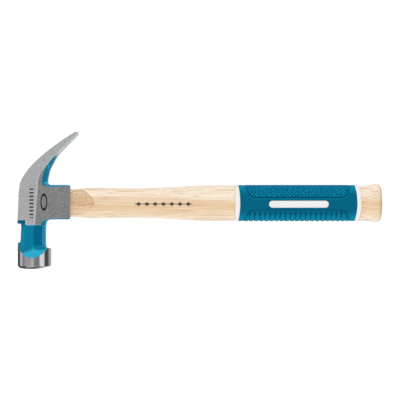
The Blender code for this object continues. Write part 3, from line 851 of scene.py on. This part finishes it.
# Station, half height, half depth and bow of each section, along the outside and back through the bore.
SLEEVE_SECTIONS = (
    (SLEEVE_START, 16.4, 12.15, 0.0), (SLEEVE_START, 16.7, 12.4, 0.0), (200.25, 16.85, 12.62, 0.0),
    (200.6, *RING_HALF, 0.05), (201.6, *RING_HALF, 0.9), (202.4, *RING_HALF, 1.6),
    (202.75, *RING_HALF, START_BOW), (202.9, *STEP_HALF, START_BOW),
    (202.95, *WALL_HALF, START_BOW), (GRIP_MIDDLE, *WALL_HALF, 2.1),
    (309.55, *WALL_HALF, RING_BOW), (309.6, *STEP_HALF, RING_BOW), (309.75, *RING_HALF, RING_BOW),
    (310.5, *RING_HALF, RING_BOW), (312.0, *RING_HALF, RING_BOW), (313.0, *RING_HALF, RING_BOW),
    (313.3, 16.8, 12.58, RING_BOW), (313.5, 16.5, 12.3, RING_BOW), (313.55, 15.7, 11.9, RING_BOW),
    (313.55, *BORE_HALF, RING_BOW), (GRIP_MIDDLE, *BORE_HALF, 0.9), (SLEEVE_START, *BORE_HALF, 0.0),
)


def make_sleeve():
    """White under-sleeve: rings at both ends, a thin wall between, and a raised panel on each side."""
    rings = [bowed(x, section(high, deep, GRIP_POWER, 200), bow) for x, high, deep, bow in SLEEVE_SECTIONS]
    item = skin("white_sleeve", rings, joined=True)
    join(item, [skin("pad", pad_rings(side)) for side in (1.0, -1.0)])
    return item


def join(item, others):
    """Merges the meshes of others into item."""
    merged = bmesh.new()
    merged.from_mesh(item.data)
    for other in others:
        merged.from_mesh(other.data)
        bpy.data.objects.remove(other)
    merged.to_mesh(item.data)
    merged.free()
    item.data.update()


# ---------------------------------------------------------------- materials
def colour(code):
    """Linear colour from a hex code."""
    parts = [int(code[i:i + 2], 16) / 255.0 for i in (1, 3, 5)]
    return (*[p / 12.92 if p <= 0.04045 else ((p + 0.055) / 1.055) ** 2.4 for p in parts], 1.0)


def operator(name, swapped=False):
    """Method that joins a term and another value with a Math node."""
    def apply(self, other):
        return self.graph.math(name, *((other, self) if swapped else (self, other)))

    return apply


class Term:
    """An output in a node graph; arithmetic on it adds the nodes that work it out."""

    def __init__(self, graph, socket):
        self.graph, self.socket = graph, socket

    __add__, __radd__ = operator("ADD"), operator("ADD", swapped=True)
    __sub__, __rsub__ = operator("SUBTRACT"), operator("SUBTRACT", swapped=True)
    __mul__, __truediv__ = operator("MULTIPLY"), operator("DIVIDE")

    def __abs__(self):
        return self.graph.math("ABSOLUTE", self)

    def between(self, low, high, start=0.0, end=1.0):
        """Maps low..high to start..end, smoothly and clamped."""
        values = enumerate((self, low, high, start, end))
        return self.graph.make("MapRange", values, interpolation_type="SMOOTHSTEP")


class Graph:
    """A node tree that is built from terms, numbers, vectors and hex codes of colours."""

    def __init__(self, tree):
        self.tree = tree

    def node(self, kind, **settings):
        made = self.tree.nodes.new("ShaderNode" + kind)
        for key, value in settings.items():
            setattr(made, key, value)
        return made

    def feed(self, socket, value):
        if isinstance(value, Term):
            self.tree.links.new(value.socket, socket)
        else:
            socket.default_value = colour(value) if isinstance(value, str) else value

    def make(self, kind, inputs, output=0, **settings):
        """Output of a new node, whose inputs are pairs of socket and value."""
        made = self.node(kind, **settings)
        for key, value in inputs:
            self.feed(made.inputs[key], value)
        return Term(self, made.outputs[output])

    def read(self, kind, output, **settings):
        return self.make(kind, (), output, **settings)

    def math(self, operation, *values):
        return self.make("Math", enumerate(values), operation=operation)

    def vector(self, operation, *values):
        return self.make("VectorMath", enumerate(values), operation=operation)

    def parts(self, vector):
        """The x, y and z of a vector."""
        made = self.node("SeparateXYZ")
        self.feed(made.inputs[0], vector)
        return [Term(self, output) for output in made.outputs]

    def blend(self, factor, first, second):
        return self.make("Mix", ((0, factor), (6, first), (7, second)), 2, data_type="RGBA", blend_type="MIX")

    def layers(self, tone, *coats):
        """Lays (share, colour) coats over a tone, one after the other."""
        for share, tint in coats:
            tone = self.blend(share, tone, tint)
        return tone


class Finish(Graph):
    """A Principled material, worked out in working millimetres."""

    def __init__(self, name, **plain):
        self.material = bpy.data.materials.new(name)
        self.material.use_nodes = True
        super().__init__(self.material.node_tree)
        self.shader = self.tree.nodes["Principled BSDF"]
        self.set(**plain)
        moved = self.vector("SUBTRACT", self.read("TexCoord", "Object"), tuple(ORIGIN))
        self.at = self.make("VectorMath", ((0, moved), ("Scale", 1.0 / MM)), operation="SCALE")
        self.x, self.y, self.z = self.parts(self.at)

    def set(self, **inputs):
        for key, value in inputs.items():
            self.feed(self.shader.inputs[key.replace("_", " ")], value)

    def noise(self, stretch, detail, roughness=0.5, at=None):
        """Noise over the position times a stretch for each axis."""
        where = self.vector("MULTIPLY", at or self.at, stretch)
        inputs = (("Vector", where), ("Scale", 1.0), ("Detail", detail), ("Roughness", roughness))
        return self.make("TexNoise", inputs)

    def attribute(self, name):
        return self.read("Attribute", "Fac", attribute_name=name)

    def facing(self):
        """The x, y and z of the surface's normal."""
        return self.parts(self.read("NewGeometry", "Normal"))

    def bump(self, height, distance, strength):
        """Height in units of the distance, which is in millimetres, as a bump."""
        inputs = (("Strength", strength), ("Distance", distance * MM), ("Height", height))
        self.set(Normal=self.make("Bump", inputs))


def head_finish():
    """Ground steel with painted hollows: bare_steel is positive where grinding cut into the forged shape."""
    finish = Finish("ground_steel_and_teal_paint", IOR=1.5, Specular_IOR_Level=0.08)
    border = finish.attribute("bare_steel") + (finish.noise((1.6, 1.6, 1.6), 3.0) - 0.5) * 0.10
    # Toward the claw tips the faces away from the cheeks turn to bare steel, and the strip of paint next to
    # the cheeks to a pale painted highlight.
    toward_tip = finish.y.between(41.0, 47.0)
    steel = finish.math("MAXIMUM", border.between(-0.05, 0.05), toward_tip * border.between(-1.3, -1.9))
    painted = 1.0 - steel
    poll = finish.y.between(-33.0, -34.0)
    brushed = finish.noise((2.6, 0.45, 2.6), 6.0, 0.75)
    turned = finish.noise((0.1, 5.0, 0.1), 3.0)
    grain = finish.noise((0.75, 1.1, 1.0), 6.0, 0.85)
    speckled = finish.blend(finish.x.between(16.0, 20.0, 0.3, 0.85), brushed, grain)
    texture = finish.blend(poll, speckled, turned)
    shine = poll.between(0.0, 1.0, 0.21, 0.15) + (speckled - 0.5) * 0.12
    peel = finish.noise((0.9, 0.9, 0.9), 2.0)
    paint = paint_tone(finish, border, toward_tip)
    finish.set(Base_Color=finish.blend(steel, paint, steel_tone(finish, poll, texture)), Metallic=steel,
               Roughness=steel * shine + painted * 0.2)
    rough_steel = texture * poll.between(0.0, 1.0, 0.2, 0.05)
    finish.bump(steel * rough_steel + painted * peel, 0.02, 0.6)
    return finish.material


def steel_tone(finish, poll, texture):
    """Grey of the ground steel: speckled on the cheeks, even on the poll, with painted highlights along the
    ridge and on edges.
    """
    speckles = 0.5 + (texture - 0.5) * finish.x.between(14.0, 20.0, 0.75, 1.7)
    return finish.layers(
        finish.blend(speckles.between(0.33, 0.67), "#a6a7a9", "#dadbdc"),
        # Painted highlight along the ridge.
        (finish.attribute("ridge") * 0.3, "#ececec"),
        (poll, finish.blend(texture, "#bcbdbf", "#cacbcc")),
        # Painted highlight on convex edges.
        (finish.attribute("edge") * 0.35, "#e4e5e6"),
        (marks(finish) * 0.95, "#1c1d1f"))


def paint_tone(finish, border, toward_tip):
    """Teal of the paint with painted light and shade: painted light in hollows, painted highlights in streaks
    and on edges, a pale painted highlight toward the claw tips, and painted shade dark along the border of
    the steel.
    """
    light = finish.attribute("painted_light_and_shade")
    # Painted highlight: the lightest painted light, broken into streaks by noise.
    painted_highlight = light + (finish.noise((0.5, 1.4, 0.3), 3.0) - 0.5) * 0.3
    paint = finish.layers(
        # Painted light and shade from the vertex attribute.
        finish.blend(light.between(0.0, 0.5), "#005a82", "#007a9b"),
        (painted_highlight.between(0.5, 1.0), "#2cbadd"),
        (finish.noise((0.12, 0.12, 0.12), 3.0) * 0.3, "#0083a6"),
        # Painted highlight on convex edges.
        (finish.attribute("edge") * 0.3, "#3fa6c4"))
    # Painted highlight in dashes at x = 23.4 and a dark line at x = 24.4 down the neck's right chamfers.
    upright = finish.y.between(-20.8, -22.0) * finish.y.between(-40.5, -38.5)
    dashes = finish.noise((1.0, 0.9, 0.0), 2.0).between(0.42, 0.56)
    for at, share, tint in ((23.4, dashes * 0.7, "#58c4de"), (24.4, 0.7, "#004a6c")):
        near = abs(finish.x - at).between(0.5, 0.2)
        paint = finish.blend(near * upright * share, paint, tint)
    # A pale painted highlight toward the claw tips, and painted shade along the border of the steel.
    return finish.layers(paint, (toward_tip, "#dbe8ea"), (border.between(-0.5, -0.05) * 0.5, "#004a62"))


def marks(finish):
    """Generic stamped marks on the cheeks: a column of short bars and an oval ring."""
    bar_pitch, bars_x, middle_y = 3.3, 13.1, 0.9
    bar = finish.math("PINGPONG", finish.y + 50.0, bar_pitch / 2.0).between(0.72, 0.6)
    bars = bar * abs(finish.x - bars_x).between(1.95, 1.83) * abs(finish.y - middle_y).between(14.75, 14.6)
    over, up = (finish.x - 24.5) / 3.1, (finish.y - middle_y) / 8.0
    radius = finish.math("SQRT", over * over + up * up)
    ring = abs(radius - 0.85).between(0.17, 0.13)
    return finish.math("MAXIMUM", bars, ring) * abs(finish.facing()[2]).between(0.9, 0.95)


def wood_finish(name, light, dark, streak, marked=False):
    """Straight-grained wood: broad growth bands, long fibre streaks and short pores along X, darker along the
    middle (partly heartwood, partly painted shade) and with painted light toward the edges.
    """
    finish = Finish(name)
    drift = finish.noise((0.006, 0.02, 0.02), 1.0)
    grown = finish.make("CombineXYZ", ((0, finish.x), (1, finish.y + drift * 9.0), (2, finish.z * 0.55)))

    def along(length, width, detail, roughness=0.5):
        return finish.noise((1.0 / length, 1.0 / width, 1.0 / width), detail, roughness, grown)

    # Darker along the middle of the handle and lighter toward its top and bottom: partly heartwood, partly
    # painted shade and light.
    heartwood_and_painted_shade = abs(finish.y + 3.5) - along(160.0, 6.0, 3.0) * 11.0
    line = along(130.0, 0.62, 4.0, 0.6)
    fibre = along(30.0, 0.5, 5.0, 0.65)
    pore = along(7.0, 0.28, 2.0).between(0.60, 0.72)
    end = abs(finish.facing()[0]).between(0.45, 0.9)
    rings = finish.noise((0.05, 0.25, 1.6), 4.0).between(0.4, 0.65, 0.35, 0.85)
    tone = finish.layers(
        finish.blend(heartwood_and_painted_shade.between(5.5, -3.0), light, dark),
        (along(150.0, 1.7, 3.0, 0.6).between(0.52, 0.66, 0.0, 0.5), streak),
        (line.between(0.52, 0.66, 0.0, 0.85), streak),
        (line.between(0.47, 0.33, 0.0, 0.6), light),
        (fibre.between(0.5, 0.72, 0.0, 0.5), streak),
        (pore * 0.35, "#a8743f"),
        # Painted light where the surface turns down to the handle's top and bottom edges.
        (abs(finish.z).between(7.5, 3.5, 0.0, 0.4), "#fff4e2"),
        (end * rings, "#d6a974"))
    if marked:
        tone = finish.layers(tone, *tongue_coats(finish), (ornament(finish) * 0.93, "#1d1a18"))
    finish.set(Base_Color=tone, Roughness=fibre.between(0.3, 0.7, 0.38, 0.52))
    finish.bump(fibre - pore, 0.03, 0.5)
    return finish.material


def tongue_coats(finish):
    """Coats of the shaved tongue: cut fibres, torn spots, a drying check and a darker rim."""
    wave = finish.noise((0.3, 0.5, 0.5), 3.0)
    depth = finish.attribute("shaved") + (wave - 0.5) * 1.2
    fresh = finish.y.between(-4.5, -0.5, 0.3, 1.0)
    inside = depth.between(0.0, 0.35) * fresh
    cut = finish.noise((0.32, 1.5, 1.5), 4.0, 0.7).between(0.40, 0.60, 0.25, 1.0)
    torn = finish.noise((0.5, 2.6, 2.6), 3.0).between(0.56, 0.68)
    off_check = abs(finish.y + (finish.x - 76.5) * -0.12)
    check = off_check.between(0.55, 0.15) * depth.between(0.0, 1.0) * finish.x.between(51.0, 57.0, 0.0, 0.6)
    rim = depth.between(-0.1, 0.5) * depth.between(1.6, 0.6) * (fresh * 0.7)
    return (inside * cut, "#d9b184"), (inside * torn * 0.7, "#a87443"), (check, "#b37e50"), (rim, "#c39a6c")


def ornament(finish):
    """Generic printed ornament on both sides of the handle: a row of small lozenges on a fine line."""
    pitch, middle_x, below_axis = 7.6, 134.2, 0.95
    turn = finish.math("PINGPONG", finish.x - (middle_x - 20 * pitch), pitch / 2.0)
    off = abs(finish.y + below_axis)
    lozenge = (turn / 2.7 + off / 1.95).between(1.04, 0.98)
    line = off.between(0.36, 0.26)
    return finish.math("MAXIMUM", lozenge, line) * abs(finish.x - middle_x).between(26.8, 26.6)


def rubber_finish():
    """Moulded rubber: fine matt texture, a field of small dots on the upper panel, painted light toward the
    top and bottom, a painted highlight along the lip and dark grooves of painted shade.
    """
    finish = Finish("teal_rubber", Roughness=0.5, IOR=1.48, Specular_IOR_Level=0.04)
    cloud = finish.noise((0.3, 0.3, 0.3), 4.0)
    fine = finish.noise((3.2, 3.2, 3.2), 4.0, 0.6)
    around, dotted = finish.attribute("around"), finish.attribute("dotted")
    lattice = finish.make("CombineXYZ", ((0, finish.x + around), (1, finish.x - around)))
    cell = finish.make("TexVoronoi", (("Scale", 0.33), ("Randomness", 0.3), ("Vector", lattice)), "Distance",
                       feature="F1", voronoi_dimensions="2D")
    dots = cell.between(0.48, 0.30) * dotted
    tone = finish.layers(
        finish.blend(cloud, "#005f7d", "#006584"),
        # Painted light toward the top and bottom of the grip.
        (abs(finish.y).between(7.0, 15.0, 0.0, 0.95), "#0088ab"),
        (fine.between(0.35, 0.75, 0.0, 0.2), "#007da0"),
        (dotted * 0.8, "#0090bb"),
        (dots * 0.85, "#00384e"),
        # Painted highlight along the lip.
        (finish.attribute("lip") * 0.6, "#0088b0"),
        # Painted shade in the grooves and rib slits.
        (finish.attribute("groove") * 0.85, "#002c3d"))
    finish.set(Base_Color=tone, Roughness=fine.between(0.3, 0.7, 0.45, 0.62))
    finish.bump(dots * -0.1 + fine * 0.02, 1.0, 0.9)
    return finish.material


def plastic_finish():
    finish = Finish("white_plastic", Roughness=0.35, IOR=1.46)
    cloud = finish.noise((0.2, 0.2, 0.2), 3.0)
    fine = finish.noise((4.0, 4.0, 4.0), 3.0)
    finish.set(Base_Color=finish.blend(cloud, "#efeff0", "#f6f6f6"),
               Roughness=fine.between(0.3, 0.7, 0.3, 0.42))
    finish.bump(fine, 0.012, 0.5)
    return finish.material


def wedge_steel_finish():
    finish = Finish("blued_steel", Metallic=1.0, Roughness=0.4)
    grain = finish.noise((2.5, 2.5, 2.5), 6.0, 0.7)
    cloud = finish.noise((0.5, 0.5, 0.5), 3.0)
    tone = finish.blend(cloud, "#8c8d90", "#b6b7ba")
    finish.set(Base_Color=finish.blend(grain.between(0.55, 0.75, 0.0, 0.5), tone, "#6b5f57"),
               Roughness=grain.between(0.3, 0.7, 0.3, 0.55))
    finish.bump(grain, 0.06, 0.7)
    return finish.material


# ---------------------------------------------------------------- pieces
head_item = make_head()
dress(head_item, head_finish(), "ground_steel", "head")

handle_item = make_handle()
smooth(handle_item, 28.0)
hickory = wood_finish("hickory_wood", "#fff1dc", "#f0d2aa", "#dcae7f", marked=True)
dress(handle_item, hickory, "hickory", "handle")

wood_item = wedge("beech_wedge", 30.0, 3.6, 1.0, (0.9, EYE_Y), 21.0, rough=0.15)
smooth(wood_item, 30.0)
dress(wood_item, wood_finish("wedge_wood", "#e0c093", "#cfa671", "#b98f5c"), "wedge_wood", "wood_wedge")
for name, offset, node in (("steel_wedge_a", -6.2, "steel_wedge_front"),
                           ("steel_wedge_b", 6.2, "steel_wedge_rear")):
    item = wedge(name, 18.0, 2.4, 0.6, (0.7, EYE_Y + offset), 11.0, angle=math.pi / 2.0, barbs=6)
    smooth(item, 30.0)
    dress(item, wedge_steel_finish(), "wedge_steel", node)

sleeve_item = make_sleeve()
smooth(sleeve_item, 35.0)
dress(sleeve_item, plastic_finish(), "sleeve_plastic", "grip_sleeve")

overmold_item = make_overmold()
smooth(overmold_item, 50.0)
dress(overmold_item, rubber_finish(), "overmold_rubber", "grip_overmold")


# ---------------------------------------------------------------- floor, light and camera
def flat_plane(name, size, height):
    """Square plane on the stage, with a material of its own."""
    plane = bpy.data.objects.new(name, bpy.data.meshes.new(name))
    corners = [(-size, -size, height), (size, -size, height), (size, size, height), (-size, size, height)]
    plane.data.from_pydata(corners, [], [(0, 1, 2, 3)])
    bpy.context.scene.collection.objects.link(plane)
    material = bpy.data.materials.new(name)
    material.use_nodes = True
    plane.data.materials.append(material)
    return plane, Graph(material.node_tree)


def make_floor():
    """Pale floor that glows evenly and isn't seen in reflections."""
    floor, graph = flat_plane("pale_floor", 12.0, 0.0)
    shader = graph.tree.nodes["Principled BSDF"]
    for key, value in (("Base Color", (0.2, 0.2, 0.2, 1.0)), ("Roughness", 0.9), ("Specular IOR Level", 0.1),
                       ("Emission Color", (1.0, 1.0, 1.0, 1.0)), ("Emission Strength", 0.93)):
        graph.feed(shader.inputs[key], value)
    floor.visible_glossy = False


REFLECTION_REACH = 100.0
# Brightness of the painted reflection that glossy rays see below the tool, by distance along X from the
# middle of the poll.
REFLECTION_STOPS = ((-88.0, 0.8), (-70.0, 0.8), (-58.0, 0.1), (0.0, 0.1), (12.0, 0.6), (54.0, 0.6), (68.0, 0.12))


def make_painted_reflection():
    """What glossy rays see in place of the floor: a glowing sheet of painted reflection in bright and dark
    bands.
    """
    # Painted reflection: a glowing sheet just under the floor that only glossy rays see.
    table, graph = flat_plane("painted_floor_reflection", 12.0, -0.0005)
    for kind in ("camera", "diffuse", "transmission", "shadow", "volume_scatter"):
        setattr(table, "visible_" + kind, False)
    graph.tree.nodes.clear()
    poll, reach = ORIGIN[0] + POLL_X * MM, REFLECTION_REACH * MM
    x = graph.parts(graph.read("TexCoord", "Object"))[0]
    shades = graph.node("ValToRGB")
    graph.feed(shades.inputs[0], graph.make("MapRange", enumerate((x, poll - reach, poll + reach))))
    elements = shades.color_ramp.elements
    while len(elements) < len(REFLECTION_STOPS):
        elements.new(0.5)
    for element, (offset, level) in zip(elements, REFLECTION_STOPS):
        element.position = (offset * MM + reach) / (2.0 * reach)
        element.color = (level, level, level, 1.0)
    glow = graph.make("Emission", [(0, Term(graph, shades.outputs[0]))])
    graph.feed(graph.node("OutputMaterial").inputs[0], glow)


# Brightness round the band overhead, from its -X end to its +X end, and of the tent's two sides.
WEST = 0.54
LEFT = 0.8
RIGHT = 0.265
STRIP = 1.4
WINGS = (1.62, 1.25)
HORIZON = 0.12


def make_light():
    """Soft studio light: a tent that is bright along both sides of the object and dim overhead."""
    world = bpy.data.worlds.new("studio")
    bpy.context.scene.world = world
    world.use_nodes = True
    graph = Graph(world.node_tree)
    graph.tree.nodes.clear()

    def mix(factor, first, second):
        return factor * second + (1.0 - factor) * first

    x, y, z = graph.parts(graph.read("TexCoord", "Generated"))
    turn = graph.math("DEGREES", graph.math("ARCTAN2", x, z))
    band = mix(turn.between(-30.0, -16.0), WEST, mix(turn.between(-6.0, 0.0), LEFT, RIGHT))
    lamp = turn.between(36.0, 40.0) * turn.between(77.0, 73.0)
    band = mix(lamp, mix(turn.between(73.0, 77.0), band, 0.0), STRIP)
    level = mix(abs(y).between(0.15, 0.38), band, turn.between(-45.0, 45.0, *WINGS))
    level = level * z.between(0.0, 0.55, 0.45, 1.0) + HORIZON
    background = graph.make("Background", [("Strength", level)])
    graph.feed(graph.node("OutputWorld").inputs[0], background)


def make_camera():
    """Long lens straight above the object, its width in the picture fixed by the CAD box."""
    low, high = cad_bounds
    centre = (Vector(low) + Vector(high)) / 2.0
    reach = 4.0
    margin = 368.0 / 335.7
    lens = bpy.data.cameras.new("camera")
    lens.sensor_width = 36.0
    lens.lens = lens.sensor_width * reach / ((high[0] - low[0]) * margin)
    lens.clip_end = 50.0
    camera = bpy.data.objects.new("camera", lens)
    camera.location = (centre.x - 0.00013, centre.y + 0.00036, (low[2] + high[2]) / 2.0 + reach)
    bpy.context.scene.collection.objects.link(camera)
    bpy.context.scene.camera = camera


make_floor()
# Painted reflection under the tool, seen only by glossy rays.
make_painted_reflection()
make_light()
make_camera()
bpy.context.scene.view_settings.view_transform = "Standard"
